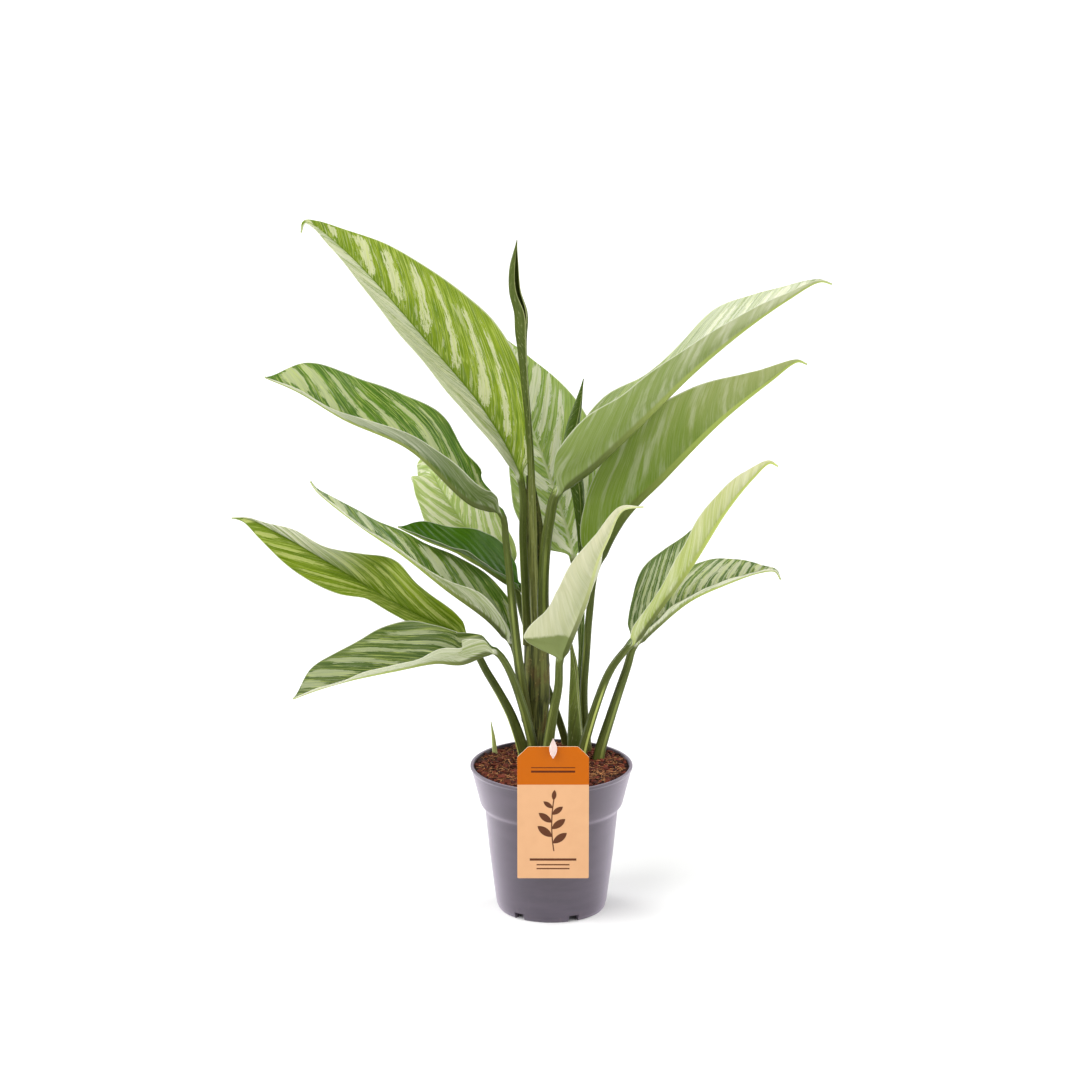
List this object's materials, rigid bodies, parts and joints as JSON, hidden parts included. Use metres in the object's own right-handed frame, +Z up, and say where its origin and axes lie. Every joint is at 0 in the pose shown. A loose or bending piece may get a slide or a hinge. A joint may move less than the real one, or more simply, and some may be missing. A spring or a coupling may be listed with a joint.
{
  "type": "potted aglaonema",
  "caption": "Potted Chinese evergreen: long striped lance-shaped leaves on upright stalks and canes, in a tapered nursery pot filled with soil, with a hanging label card.",
  "frame": {"origin": "centre of the pot's underside, on the face it rests on", "axes": "+Z up along the pot's axis, +X to the plant's right seen from the front, -Y towards the front, where the card hangs"},
  "size_m": [0.4313, 0.2371, 0.5023],
  "materials": {
    "leaf_green": "satin, stripes of pale cream-green along the side veins on the upper side",
    "leaf_blue_green": "satin, stripes of pale cream-green along the side veins on the upper side",
    "leaf_dark_green": "satin, faint stripes",
    "leaf_cream": "satin, cream underside with a green base",
    "stem": "satin olive green to brown",
    "shoot": "satin yellow green",
    "shoot_pale": "satin pale yellow green",
    "pot": "fine matte, dark grey with a violet cast",
    "soil": "loose red-brown coir fibre",
    "card": null,
    "pin": "clear plastic"
  },
  "bodies": {
    "root": {"pot": "pot", "soil": "soil", "card": "card", "pin": "pin", "cane": "stem", "shoot_right": "stem", "spear_top": "shoot", "spear_right": "shoot", "shoot_small": "shoot_pale", "leaf_top_left": "leaf_green", "leaf_mid_left": "leaf_blue_green", "leaf_upper_right": "leaf_green", "leaf_mid_right": "leaf_green", "leaf_cream": "leaf_cream", "leaf_low_right": "leaf_green", "leaf_lowest_right": "leaf_blue_green", "leaf_narrow_left": "leaf_green", "leaf_dark_left": "leaf_dark_green", "leaf_open_left": "leaf_green", "leaf_low_left": "leaf_blue_green", "leaf_back": "leaf_green", "leaf_arching_back": "leaf_green"}
  },
  "joints": []
}
